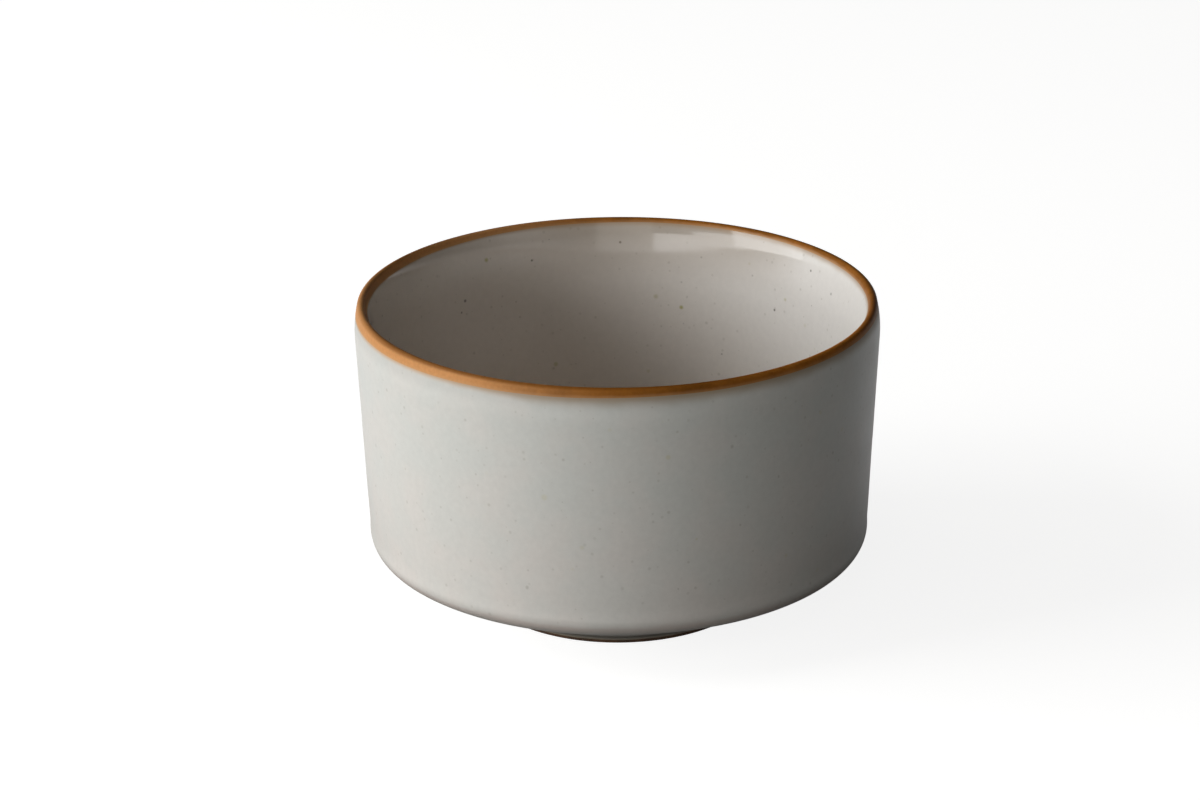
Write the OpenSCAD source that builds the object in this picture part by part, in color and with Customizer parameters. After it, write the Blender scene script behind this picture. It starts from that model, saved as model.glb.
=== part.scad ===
// Latte bowl in glazed stoneware: a straight wall that leans out a little, a tight heel, a cone-shaped
// underside and a low foot ring. Every piece is turned about the same axis. The clay is covered by coats
// of glaze inside, outside and in the foot well, and by a brown band over the lip.
// Sizes are in millimetres. The origin is the middle of the foot's resting face, and +Z is up.

/* [Bowl] */
// Widest diameter over the glaze, just below the lip
rim_d = 110; // [100:1:130]
// Height of the lip's crown above the table
height = 66.2; // [50:0.2:90]
// Inset of the heel, where the wall turns under, from the widest diameter on each side
heel_inset = 2; // [0:0.1:7]
// Height of the heel above the table
heel_h = 13.1; // [9:0.1:20]
// Rounding of the heel
heel_r = 3.2; // [1:0.1:8]

/* [Lip] */
// Height of the drawn-in lip above the wall
lip_h = 4.2; // [3:0.1:8]
// Inward lean of the lip's outside, in degrees
lip_lean = 12; // [4:1:16]
// Radius of the sweep from the wall into the lip, outside and inside
lip_sweep_r = 24; // [8:1:40]
// Width of the crown over the glaze, before its two edges are rounded
crown_w = 1.3; // [1.2:0.05:3]
// Radius of the crown's two edges in the clay, under the coat
crown_r = 0.45; // [0.2:0.05:0.6]
// Height of the drinking edge on the inside, below the crown
edge_h = 2.8; // [2:0.1:5]
// Thickness of the lip over the glaze at the foot of the drinking edge
edge_t = 3.1; // [2.2:0.1:6]
// Radius of the sweep from the drinking edge into the thinning wall
edge_sweep_r = 12; // [4:1:30]
// Height below the crown over which the wall thins on the inside
taper_h = 9.2; // [7:0.1:16]

/* [Inside] */
// Thickness of the wall over the glaze, from the heel up to where it thins
wall_t = 4.4; // [3:0.1:7]
// Thickness of the floor and of the sloping underside, over the glaze
floor_t = 4.4; // [3:0.1:8]
// Rounding between the wall and the slope inside
inside_r = 12; // [4:1:20]
// Rounding between the slope and the level floor inside
floor_r = 30; // [10:1:45]

/* [Foot] */
// Outside diameter of the foot ring's bare clay at the table
foot_d = 58.8; // [44:0.2:72]
// Width of the foot ring at the table
foot_w = 4.4; // [3:0.1:8]
// Height of the foot's outside, from the table to the underside
foot_h = 2.1; // [1.6:0.1:5]
// Lean of the foot ring's two sides, in degrees
foot_lean = 3; // [0:1:12]
// Depth of the glazed well inside the foot ring
well_depth = 2; // [1.6:0.1:4]
// Rounding of the corners beside the foot ring
foot_blend_r = 0.8; // [0.3:0.1:1.5]
// Bevel on the two edges that meet the table
foot_bevel = 0.2; // [0.1:0.1:0.7]

/* [Coats] */
// Thickness of the glaze coats and of the rim band
coat_t = 0.4; // [0.2:0.05:0.6]
// Height of bare clay left above the table
bare_h = 0.8; // [0.7:0.05:1.2]
// Reach of the rim band down the outside
band_out_h = 1.2; // [1:0.1:4]
// Reach of the rim band down the inside
band_in_h = 0.9; // [0.6:0.1:3]

/* [Hidden] */

// Largest turn of one step along a rounded corner, in degrees
arc_step = 5;
// Steps of one turn about the axis
turn_steps = 180;
// Points closer than this are one point
same_point = 0.0001;

// Colours of the bare clay, the glaze outside, the glaze inside and the rim band
clay_colour = [0.42, 0.28, 0.18];
outside_colour = [0.82, 0.82, 0.79];
inside_colour = [0.80, 0.76, 0.72];
band_colour = [0.66, 0.41, 0.18];

function unit(v) = v / norm(v);
function left_of(v) = [-v[1], v[0]];
function reversed(path) = [for (i = [len(path) - 1 : -1 : 0]) path[i]];
function slice(path, first, last) = [for (i = [first : last]) path[i]];
function distinct(path) = [
  for (i = [0 : len(path) - 1]) if (i == 0 || norm(path[i] - path[i - 1]) > same_point) path[i]
];

// Where the line through p along u meets the line through q along v
function meet(p, u, q, v) = p + u * cross(q - p, v) / cross(u, v);

// A path's place on a corner list [radius, height, rounding]
function place(corners, i) = [corners[i][0], corners[i][1]];

// Half of the angle inside corner i
function half_angle(corners, i) =
  let (u = unit(place(corners, i - 1) - place(corners, i)))
  let (v = unit(place(corners, i + 1) - place(corners, i)))
  acos(u * v) / 2;

// Length that corner i's rounding takes from each of its two edges
function setback(corners, i) =
  i == 0 || i == len(corners) - 1 ? 0 : corners[i][2] / tan(half_angle(corners, i));

// Share of the roundings at corners i and i + 1 that the edge between them has room for
function edge_share(corners, i) =
  let (edge = norm(place(corners, i + 1) - place(corners, i)))
  let (needed = setback(corners, i) + setback(corners, i + 1))
  needed > edge ? edge / needed : 1;

// The arc that rounds corner i, or the corner itself where it has no rounding
function corner_arc(corners, i) =
  setback(corners, i) == 0 ? [place(corners, i)] :
  let (p = place(corners, i))
  let (u = unit(place(corners, i - 1) - p))
  let (v = unit(place(corners, i + 1) - p))
  let (half = half_angle(corners, i))
  let (r = corners[i][2] * min(edge_share(corners, i - 1), edge_share(corners, i)))
  let (centre = p + unit(u + v) * r / sin(half))
  let (from = p + u * r / tan(half) - centre)
  let (start = atan2(from[1], from[0]))
  let (sweep = sign(cross(v, u)) * (180 - 2 * half))
  let (steps = ceil(abs(sweep) / arc_step))
  [for (k = [0 : steps]) centre + r * [cos(start + sweep * k / steps), sin(start + sweep * k / steps)]];

// A path through the corners with every rounding drawn as an arc
function rounded(corners) = distinct([for (i = [0 : len(corners) - 1]) each corner_arc(corners, i)]);

// The path moved to its left by d, with its corners mitred
function parallel(path, d) =
  let (last = len(path) - 1)
  [
    for (i = [0 : last])
      let (before = left_of(unit(path[max(i, 1)] - path[max(i, 1) - 1])))
      let (after = left_of(unit(path[min(i, last - 1) + 1] - path[min(i, last - 1)])))
      let (m = before + after)
      path[i] + m * 2 * d / (m * m)
  ];

// The point at height z on the edge from a to b, if the edge passes that height
function passing(a, b, z) = (a[1] - z) * (b[1] - z) < 0 ? [a + (b - a) * (z - a[1]) / (b[1] - a[1])] : [];

// The parts of a path above, below and between given heights
function above(path, z) = [
  for (i = [0 : len(path) - 1])
    each concat(i > 0 ? passing(path[i - 1], path[i], z) : [], path[i][1] >= z ? [path[i]] : [])
];
function below(path, z) = [
  for (i = [0 : len(path) - 1])
    each concat(i > 0 ? passing(path[i - 1], path[i], z) : [], path[i][1] <= z ? [path[i]] : [])
];
function between(path, low, high) = below(above(path, low), high);

// Lip: the wall's line ends at the shoulder, placed so that the sweep's widest point is at rim_d
shoulder_z = height - lip_h;
wall_lean = atan(heel_inset / (shoulder_z - heel_h));
sweep_setback = lip_sweep_r * tan((wall_lean + lip_lean) / 2);
shoulder_r = rim_d / 2 + sweep_setback * sin(wall_lean) - lip_sweep_r * (1 - cos(wall_lean));
shoulder = [shoulder_r, shoulder_z];
crown_out = [shoulder_r - lip_h * tan(lip_lean), height];

// Underside: a cone from the top of the foot to the heel
heel = [rim_d / 2 - heel_inset, heel_h];
foot_start = [foot_d / 2 + coat_t / cos(foot_lean), 0];
foot_top = foot_start + foot_h * [tan(foot_lean), 1];
slope = unit(heel - foot_top);

// The outside's radius at height z on the wall or the lip, before its roundings
function outside_r(z) =
  z > shoulder_z ? shoulder_r - (z - shoulder_z) * tan(lip_lean) : heel[0] + (z - heel_h) * tan(wall_lean);

// Inside: the drinking edge, the thinning wall, the wall, and a slope and floor that follow the underside
crown_in = crown_out - [crown_w, 0];
edge_z = height - edge_h;
edge_foot = [outside_r(edge_z) - edge_t, edge_z];
taper_z = height - taper_h;
taper_foot = [outside_r(taper_z) - wall_t, taper_z];
inner_wall = unit(shoulder - heel);
floor_z = well_depth + floor_t;
inner_slope = foot_top + floor_t * left_of(slope);
inner_heel = meet(taper_foot, inner_wall, inner_slope, slope);
floor_edge = meet(inner_slope, slope, [0, floor_z], [1, 0]);

// Glazed surface, from the table up the outside, over the lip and down the inside to the axis
skin = rounded([
  [foot_start[0], foot_start[1], 0],
  [foot_top[0], foot_top[1], foot_blend_r],
  [heel[0], heel[1], heel_r],
  [shoulder[0], shoulder[1], lip_sweep_r],
  [crown_out[0], crown_out[1], crown_r + coat_t],
  [crown_in[0], crown_in[1], crown_r + coat_t],
  [edge_foot[0], edge_foot[1], edge_sweep_r],
  [taper_foot[0], taper_foot[1], lip_sweep_r],
  [inner_heel[0], inner_heel[1], inside_r],
  [floor_edge[0], floor_edge[1], floor_r],
  [0, floor_z, 0],
]);
// Clay surface under it
core = parallel(skin, coat_t);

// Outside and inside of both surfaces, parted at the crown
crown_z = max([for (p = skin) p[1]]);
crown_i = [for (i = [0 : len(skin) - 1]) if (skin[i][1] == crown_z) i][0];
skin_out = slice(skin, 0, crown_i);
core_out = slice(core, 0, crown_i);
skin_in = slice(skin, crown_i, len(skin) - 1);
core_in = slice(core, crown_i, len(core) - 1);
band_out_z = height - band_out_h;
band_in_z = height - band_in_h;

// Foot well: glazed surface from the axis to the ring's inner side, and the clay behind it
ring_inner = [foot_d / 2 - foot_w, 0];
well_start = ring_inner - [coat_t / cos(foot_lean), 0];
well_corner = well_start + well_depth * [-tan(foot_lean), 1];
well_skin = rounded([
  [0, well_depth, 0],
  [well_corner[0], well_corner[1], foot_blend_r],
  [well_start[0], 0, 0],
]);
well_core = parallel(well_skin, coat_t);
// Height of the level seat where the foot ring joins the body
seat_z = well_depth + coat_t;

module turned(outline) {
  rotate_extrude($fn = turn_steps)
    polygon(distinct(outline));
}

// Wall, floor and the clay of the lip
module clay_body() {
  color(clay_colour)
    turned(concat(above(core_out, seat_z), core_in, [[0, seat_z]]));
}

// Bare ring that the bowl stands on, joined to the body at a level seat
module foot_ring() {
  outer_side = between(core_out, foot_bevel, seat_z);
  inner_side = above(slice(well_core, 1, len(well_core) - 1), foot_bevel);
  color(clay_colour)
    turned(concat(
      [[foot_d / 2 - foot_bevel, 0]],
      outer_side,
      inner_side,
      [[ring_inner[0] + foot_bevel, 0]]
    ));
}

// Glaze from the foot's bare edge up to the rim band
module outer_glaze() {
  color(outside_colour)
    turned(concat(between(skin_out, bare_h, band_out_z), reversed(between(core_out, bare_h, band_out_z))));
}

// Glaze of the hollow, from the rim band down over the floor
module inner_glaze() {
  color(inside_colour)
    turned(concat(below(skin_in, band_in_z), reversed(below(core_in, band_in_z))));
}

// Brown band over the lip, level with the glaze on both sides
module rim_band() {
  color(band_colour)
    turned(concat(
      above(skin_out, band_out_z),
      above(skin_in, band_in_z),
      reversed(above(core_in, band_in_z)),
      reversed(above(core_out, band_out_z))
    ));
}

// Glaze inside the foot ring
module foot_well_glaze() {
  color(outside_colour)
    turned(concat(above(well_skin, bare_h), reversed(above(well_core, bare_h))));
}

clay_body();
foot_ring();
outer_glaze();
inner_glaze();
rim_band();
foot_well_glaze();
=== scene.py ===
"""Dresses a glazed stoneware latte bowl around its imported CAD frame.

Every coat of the bowl is turned about one axis by a geometry tree that follows the bowl's outline. All
lengths are in metres, the table is at height 0 and the bowl's axis is Z. The camera looks along +Y.
"""

import json
import logging
import math
from collections.abc import Callable, Iterator, Mapping, Sequence
from dataclasses import asdict, dataclass, field
from enum import Enum
from typing import Any

import bpy
from mathutils import Matrix, Vector


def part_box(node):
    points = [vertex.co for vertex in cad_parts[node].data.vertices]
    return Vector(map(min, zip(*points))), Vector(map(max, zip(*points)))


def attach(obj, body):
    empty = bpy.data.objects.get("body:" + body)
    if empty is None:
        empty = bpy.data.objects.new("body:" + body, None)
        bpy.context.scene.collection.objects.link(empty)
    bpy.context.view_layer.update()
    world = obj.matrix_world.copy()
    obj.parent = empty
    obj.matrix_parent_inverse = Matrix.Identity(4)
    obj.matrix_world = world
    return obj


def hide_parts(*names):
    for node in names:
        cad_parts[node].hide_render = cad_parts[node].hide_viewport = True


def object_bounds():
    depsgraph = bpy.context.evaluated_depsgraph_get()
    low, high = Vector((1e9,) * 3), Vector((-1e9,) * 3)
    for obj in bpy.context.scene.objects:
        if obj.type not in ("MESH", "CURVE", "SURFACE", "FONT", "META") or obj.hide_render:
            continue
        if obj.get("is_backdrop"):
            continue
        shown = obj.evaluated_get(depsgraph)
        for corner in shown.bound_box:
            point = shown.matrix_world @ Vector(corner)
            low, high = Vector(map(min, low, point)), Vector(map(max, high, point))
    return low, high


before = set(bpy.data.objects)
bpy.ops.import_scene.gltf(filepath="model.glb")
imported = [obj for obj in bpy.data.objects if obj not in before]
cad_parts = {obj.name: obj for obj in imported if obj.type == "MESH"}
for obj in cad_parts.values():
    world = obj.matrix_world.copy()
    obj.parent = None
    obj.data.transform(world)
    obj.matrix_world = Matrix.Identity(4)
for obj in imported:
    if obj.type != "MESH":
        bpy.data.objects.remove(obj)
cad_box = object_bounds()

log = logging.getLogger("latte_bowl")

MM = 0.001
BODY = "root"
WHITE = (1.0, 1.0, 1.0, 1.0)
# A run past the end of every outline
OUT_OF_REACH = 1.0

Colour = tuple[float, float, float]
# Where a smooth step starts and where it ends
Span = tuple[float, float]


class Slot(Enum):
    """The record's material slots."""

    CLAY = "clay"
    OUTSIDE_GLAZE = "outside_glaze"
    INSIDE_GLAZE = "inside_glaze"
    RIM_OXIDE = "rim_oxide"


class Side(Enum):
    """The two sides of the bowl's outline, parted at the crown of the lip."""

    OUTSIDE = "outside"
    INSIDE = "inside"


def linked(name: str, data: bpy.types.ID) -> bpy.types.Object:
    """Makes an object of some data and links it into the scene."""
    thing = bpy.data.objects.new(name, data)
    bpy.context.scene.collection.objects.link(thing)
    return thing


def empty_tree(owner: bpy.types.Material | bpy.types.World) -> bpy.types.NodeTree:
    """Gives a material or a world an empty node tree."""
    owner.use_nodes = True
    owner.node_tree.nodes.clear()
    return owner.node_tree


def operator(operation: str, reflected: bool = False) -> Callable[..., "Value"]:
    """Makes the method of Value that stands for one operation of the Math node.

    Args:
        operation: the Math node's operation.
        reflected: whether the value is on the operator's right.

    Returns:
        The method, which adds one Math node.
    """

    def method(value: "Value", *others: Any) -> "Value":
        """Adds the Math node for this value and others."""
        operands = (*others, value) if reflected else (value, *others)
        return value.compute(operation, *operands)

    return method


class Value:
    """A node's output that takes part in Python expressions by adding Math nodes."""

    def __init__(self, graph: "Graph", socket: bpy.types.NodeSocket) -> None:
        """Keeps the socket and the graph that its Math nodes go into."""
        self.graph = graph
        self.socket = socket

    def compute(self, operation: str, *operands: Any) -> "Value":
        """Adds one Math node with values or numbers in its sockets, in order, and gives its result."""
        sockets = dict(enumerate(operands))
        return self.graph.add("ShaderNodeMath", {"operation": operation}, sockets)["Value"]

    __add__ = operator("ADD")
    __radd__ = operator("ADD", reflected=True)
    __sub__ = operator("SUBTRACT")
    __rsub__ = operator("SUBTRACT", reflected=True)
    __mul__ = operator("MULTIPLY")
    __rmul__ = operator("MULTIPLY", reflected=True)
    __truediv__ = operator("DIVIDE")
    __mod__ = operator("MODULO")
    __pow__ = operator("POWER")
    __lt__ = operator("LESS_THAN")
    least = operator("MINIMUM")
    most = operator("MAXIMUM")
    __abs__ = operator("ABSOLUTE")
    floor = operator("FLOOR")
    cosine = operator("COSINE")
    sine = operator("SINE")

    def rise(self, low: float, high: float) -> "Value":
        """Smooth step that goes up from 0 at low to 1 at high."""
        settings = {"interpolation_type": "SMOOTHSTEP", "clamp": True}
        return self.graph.add("ShaderNodeMapRange", settings, {0: self, 1: low, 2: high})["Result"]

    def fall(self, low: float, high: float) -> "Value":
        """Smooth step that goes down from 1 at low to 0 at high."""
        return 1 - self.rise(low, high)


class Made:
    """A node that was added, with its outputs by name."""

    def __init__(self, graph: "Graph", node: bpy.types.Node) -> None:
        """Keeps the node and its graph."""
        self.graph = graph
        self.node = node

    def __getitem__(self, name: str) -> Value:
        """The output with this identifier or name."""
        return Value(self.graph, Graph.find(self.node.outputs, name))


class Graph:
    """A node tree that grows by one method and by expressions on its values."""

    def __init__(self, tree: bpy.types.NodeTree) -> None:
        """Keeps the tree."""
        self.tree = tree

    @staticmethod
    def find(sockets: Sequence[bpy.types.NodeSocket], key: str | int) -> bpy.types.NodeSocket:
        """Finds a socket.

        Args:
            sockets: a node's inputs or outputs.
            key: the socket's place, identifier or name.

        Returns:
            The socket.
        """
        if isinstance(key, int):
            return sockets[key]
        for socket in sockets:
            if socket.identifier == key:
                return socket
        return next(socket for socket in sockets if socket.name == key and socket.enabled)

    def add(
        self,
        kind: str,
        settings: Mapping[str, Any] | None = None,
        sockets: Mapping[str | int, Any] | None = None,
    ) -> Made:
        """Adds a node.

        Args:
            kind: the node's type.
            settings: its properties, which are set first.
            sockets: values or links for its inputs, by place, identifier or name.

        Returns:
            The node.
        """
        node = self.tree.nodes.new(kind)
        for name, setting in (settings or {}).items():
            setattr(node, name, setting)
        for key, feed in (sockets or {}).items():
            socket = self.find(node.inputs, key)
            if isinstance(feed, Value):
                self.tree.links.new(feed.socket, socket)
            else:
                socket.default_value = feed
        return Made(self, node)

    def vector(self, x: Any, y: Any, z: Any) -> Value:
        """A vector of three values."""
        return self.add("ShaderNodeCombineXYZ", {}, {"X": x, "Y": y, "Z": z})["Vector"]

    def parts(self, vector: Value) -> tuple[Value, Value, Value]:
        """The three values of a vector."""
        split = self.add("ShaderNodeSeparateXYZ", {}, {"Vector": vector})
        return split["X"], split["Y"], split["Z"]

    def distance(self, x: Value, y: Value) -> Value:
        """Distance from the bowl's axis."""
        return (x * x + y * y) ** 0.5

    def noise(self, vector: Value, size: float, detail: float = 2.0, roughness: float = 0.5) -> Value:
        """Soft noise around 0.5, by its largest blotches' width and its finer layers' number and weight."""
        sockets = {"Vector": vector, "Scale": 1 / size, "Detail": detail, "Roughness": roughness}
        return self.add("ShaderNodeTexNoise", {"noise_dimensions": "3D"}, sockets)["Fac"]


class Shader(Graph):
    """The node tree of a material with one Principled shader, and the surface's colour as it grows."""

    colour: Value

    def __init__(self, name: str, **constants: Any) -> None:
        """Starts a material.

        Args:
            name: the material's name.
            constants: values that are the same all over, for the Principled shader's own sockets.
        """
        self.material = bpy.data.materials.new(name)
        super().__init__(empty_tree(self.material))
        sockets = {key.replace("_", " "): constant for key, constant in constants.items()}
        self.surface = self.add("ShaderNodeBsdfPrincipled", {}, sockets)
        self.add("ShaderNodeOutputMaterial", {}, {"Surface": self.surface["BSDF"]})
        self.place = self.add("ShaderNodeTexCoord")["Object"]
        self.across, self.along, self.height = self.parts(self.place)

    def feed(self, name: str, value: Value) -> None:
        """Links a value that varies over the surface to the Principled shader."""
        self.tree.links.new(value.socket, self.surface.node.inputs[name])

    def attribute(self, name: str) -> Value:
        """A number that the piece's mesh carries."""
        return self.add("ShaderNodeAttribute", {"attribute_name": name})["Fac"]

    def blotches(self, size: float, detail: float = 2.0, roughness: float = 0.5) -> Value:
        """Soft noise over the piece, with the sizes and weights that noise takes."""
        return self.noise(self.place, size, detail, roughness)

    def mix(self, factor: Value, first: Value | Colour, second: Value | Colour) -> Value:
        """Mixes two colours.

        Args:
            factor: share of the second colour.
            first: the colour at 0.
            second: the colour at 1.

        Returns:
            The mixed colour.
        """
        first, second = ((*c, 1.0) if isinstance(c, tuple) else c for c in (first, second))
        settings = {"data_type": "RGBA", "clamp_factor": True}
        sockets = {"Factor_Float": factor, "A_Color": first, "B_Color": second}
        return self.add("ShaderNodeMix", settings, sockets)["Result_Color"]

    def tint(self, factor: Value, colour: Value | Colour) -> None:
        """Mixes a share of another colour into the surface's."""
        self.colour = self.mix(factor, self.colour, colour)

    def shade(self, level: Value) -> None:
        """Makes the surface's colour lighter or darker by a level around 1."""
        sockets = {"Vector": self.colour, "Scale": level}
        self.colour = self.add("ShaderNodeVectorMath", {"operation": "SCALE"}, sockets)["Vector"]

    def bump(self, height: Value, depth: float, strength: float) -> None:
        """Gives the surface relief of a real depth; the strength is the share of it that shows."""
        sockets = {"Height": height, "Distance": depth, "Strength": strength}
        self.feed("Normal", self.add("ShaderNodeBump", {}, sockets)["Normal"])


@dataclass(frozen=True)
class Specks:
    """One kind of iron speck in a glaze.

    A speck is as large and as strong as the fields say, or less, down to the smallest and faintest share.
    """

    colour: Colour
    spacing: float
    radius: float
    share: float
    strength: float
    tall: float = 1.0
    offset: Colour = (0.0, 0.0, 0.0)
    smallest: float = 0.35
    faintest: float = 0.45
    soft_edge: Span = (0.35, 1.0)

    def mask(self, shader: Shader) -> Value:
        """Where the specks are.

        Args:
            shader: the glaze's material.

        Returns:
            0 on clean glaze, up to the specks' strength in their middles.
        """
        shift = {0: shader.place, 1: self.offset}
        moved = shader.add("ShaderNodeVectorMath", {"operation": "ADD"}, shift)["Vector"]
        squeeze = {0: moved, 1: (1.0, 1.0, 1 / self.tall)}
        spot = shader.add("ShaderNodeVectorMath", {"operation": "MULTIPLY"}, squeeze)["Vector"]
        sockets = {"Vector": spot, "Scale": 1 / self.spacing}
        cells = shader.add("ShaderNodeTexVoronoi", {"feature": "F1"}, sockets)
        chance, size, depth = shader.parts(cells["Color"])
        reach = (self.smallest + (1 - self.smallest) * size) * (self.radius / self.spacing)
        dot = (cells["Distance"] / reach).fall(*self.soft_edge)
        level = (self.faintest + (1 - self.faintest) * depth) * self.strength
        return dot * (chance < self.share) * level


@dataclass(frozen=True)
class GlazeFinish:
    """An off-white stoneware glaze with specks, thin over the lip where the brown clay shows through.

    A span says where an effect starts and ends: across the bowl, up it, or away from a coat's edge.
    """

    name: str
    cool: Colour
    warm: Colour
    tan: Colour
    thin: Colour
    thin_reach: float
    thin_strength: float
    mottle: float
    specks: tuple[Specks, ...]
    roughness: float
    roughness_spread: float
    relief: float
    relief_size: float
    specular: float = 0.5
    thin_roughness: float = 0.2
    polish_size: float = 9 * MM
    cloud_size: float = 10 * MM
    cloud_span: Span = (0.32, 0.68)
    grain_size: float = 1.3 * MM
    warm_low: float = 0.0
    warm_span: Span = (16 * MM, 54 * MM)
    # Share of painted warm shade towards -X, where the inside wall is in shade
    flash: float = 0.0
    flash_span: Span = (-37 * MM, 53 * MM)
    clear_coat: float = 0.0
    coat_span: Span = (20 * MM, 62 * MM)
    coat_roughness: float = 0.09
    burnt_span: Span = (-46 * MM, -8 * MM)
    pale_narrowing: float = 2.6
    ragged_size: float = 5 * MM
    ragged_least: float = 0.7
    ragged_spread: float = 0.6
    # Painted shade near the lip at the back of the bowl: its colour, strength, reach and place
    smoke: Colour = (0.27, 0.21, 0.15)
    smoke_strength: float = 0.0
    smoke_reach: float = 14 * MM
    smoke_way: tuple[float, float] = (0.24, 0.97)
    smoke_span: Span = (38 * MM, 50 * MM)
    # Painted shade: how much greyer the glaze is just under the band on the -X side
    margin: float = 0.0
    margin_span: Span = (0.8 * MM, 4.2 * MM)
    margin_side: Span = (11 * MM, 23 * MM)
    # The thin glaze's colour over the heel, partly painted shade where the heel turns under
    heel: Colour = (0.40, 0.265, 0.215)
    heel_tint_and_shade: float = 0.0
    heel_height: float = 13.7 * MM
    heel_span: Span = (0.2 * MM, 1.5 * MM)
    heel_wander_size: float = 12 * MM
    heel_wander_least: float = 0.3
    heel_wander_spread: float = 1.4
    # Dark glaze on the foot, mostly painted shade under the heel's overhang
    foot: Colour = (0.165, 0.15, 0.125)
    foot_shade_span: Span = (1.2 * MM, 2.2 * MM)
    foot_shade_strength: float = 0.95
    bare_reach: float = 0.5 * MM
    bare_strength: float = 0.6

    def make(self) -> bpy.types.Material:
        """Builds the glaze's material."""
        constants = {"Specular_IOR_Level": self.specular, "Coat_Roughness": self.coat_roughness}
        shader = Shader(self.name, IOR=1.5, **constants)
        if self.clear_coat:
            shader.feed("Coat Weight", self.clear_coat * shader.across.fall(*self.coat_span))
        self._lay_ground(shader)
        thinning = self._thin_lip(shader)
        if self.heel_tint_and_shade:
            self._tint_and_shade_heel(shader)
        shader.feed("Base Color", shader.colour)
        polish = shader.blotches(self.polish_size, detail=4.0, roughness=0.6)
        polished = self.roughness + self.roughness_spread * (polish - 0.5)
        shader.feed("Roughness", polished + self.thin_roughness * thinning)
        shader.bump(shader.blotches(self.relief_size, detail=3.0), self.relief, 1.0)
        return shader.material

    def _lay_ground(self, shader: Shader) -> None:
        """Colours the glaze where it is thick, with clouds, grain and specks.

        Args:
            shader: the glaze's material.
        """
        cloud = shader.blotches(self.cloud_size, detail=3.0).rise(*self.cloud_span)
        low = shader.height.fall(*self.warm_span)
        # Painted shade colour: the glaze turns warmer towards -X, where the inside wall is in shade
        warm_shaded = shader.across.fall(*self.flash_span)
        clouded = 1 - self.warm_low - self.flash
        warmth = cloud * clouded + low * self.warm_low + warm_shaded * self.flash
        shader.colour = shader.mix(warmth, self.cool, self.warm)
        grain = shader.blotches(self.grain_size, detail=3.0, roughness=0.6)
        shader.shade(1 + self.mottle * (grain - 0.5))
        for kind in self.specks:
            shader.tint(kind.mask(shader), kind.colour)

    def _thin_lip(self, shader: Shader) -> Value:
        """Darkens the glaze with painted shade near the lip at the back, shows the clay where it is thin and
        greys the glaze under the band on the -X side as painted shade.

        Args:
            shader: the glaze's material.

        Returns:
            How thin the glaze is, from 1 at the band's edge to 0, over a shorter way where the band is pale.
        """
        lip_gap = shader.attribute("lip_gap")
        ragged = self.ragged_least + self.ragged_spread * shader.blotches(self.ragged_size)
        burnt = shader.across.rise(*self.burnt_span)
        narrowing = self.pale_narrowing - (self.pale_narrowing - 1) * burnt
        thinning = (lip_gap * ragged * narrowing).fall(0.0, self.thin_reach) ** 2
        # Painted shade: a dark brownish colour near the lip at the back of the bowl
        if self.smoke_strength:
            way = self.smoke_way[0] * shader.across + self.smoke_way[1] * shader.along
            back_shaded = lip_gap.fall(0.0, self.smoke_reach) * way.rise(*self.smoke_span)
            shader.tint(back_shaded * self.smoke_strength, self.smoke)
        shader.tint(thinning * self.thin_strength, shader.mix(burnt, self.tan, self.thin))
        # Painted shade: the glaze greys just under the band on the -X side
        if self.margin:
            margin_shaded = lip_gap.fall(*self.margin_span) * shader.across.fall(*self.margin_side)
            shader.shade(1 - self.margin * margin_shaded)
        return thinning

    def _tint_and_shade_heel(self, shader: Shader) -> None:
        """Warms the glaze where it runs thin over the heel, partly painted shade where the heel turns under,
        and darkens it on the foot, mostly painted shade under the overhang.

        Args:
            shader: the glaze's material.
        """
        # A warm line of thin glaze over the heel, partly painted shade where the heel turns under
        wander = self.heel_wander_least + self.heel_wander_spread * shader.blotches(self.heel_wander_size)
        line = (abs(shader.height - self.heel_height) * wander).fall(*self.heel_span)
        shader.tint(line * self.heel_tint_and_shade, self.heel)
        gap = shader.attribute("foot_gap")
        # Mostly painted shade: the glaze darkens on the foot under the overhang
        shader.tint(gap.fall(*self.foot_shade_span) * self.foot_shade_strength, self.foot)
        shader.tint(gap.fall(0.0, self.bare_reach) * self.bare_strength, self.thin)


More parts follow.
